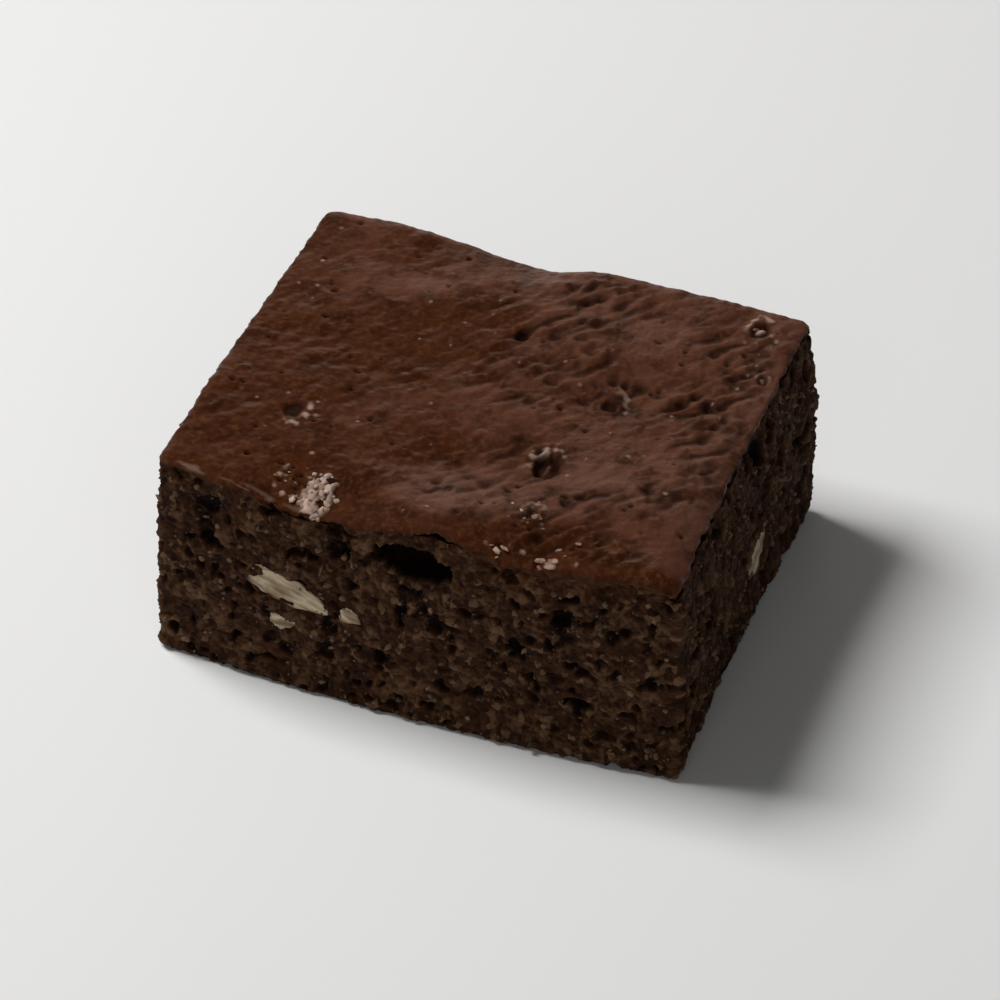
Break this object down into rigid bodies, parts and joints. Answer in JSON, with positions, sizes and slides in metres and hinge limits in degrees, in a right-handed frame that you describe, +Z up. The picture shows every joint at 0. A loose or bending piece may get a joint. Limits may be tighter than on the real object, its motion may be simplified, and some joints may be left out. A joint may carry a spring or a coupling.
{
  "type": "chocolate brownie",
  "caption": "Square-cut chocolate brownie: a dark, open-crumbed block under a thin, swollen, blistered crust, with pale nut pieces showing in its knife-cut faces.",
  "frame": {"origin": "middle of the flat base, on the surface the brownie rests on", "axes": "+Z up, +X along the longer cut side, -Y out of the cut face that the picture looks at"},
  "size_m": [0.0801, 0.0689, 0.0331],
  "materials": {
    "brownie": "satin crust over dull, porous crumb",
    "nut": "dull cut nut"
  },
  "bodies": {
    "root": {"brownie": "brownie", "nut_front": "nut", "nut_front_low": "nut", "nut_front_mid": "nut", "nut_right": "nut", "nut_back": "nut", "nut_back_high": "nut", "nut_left": "nut"}
  },
  "joints": []
}
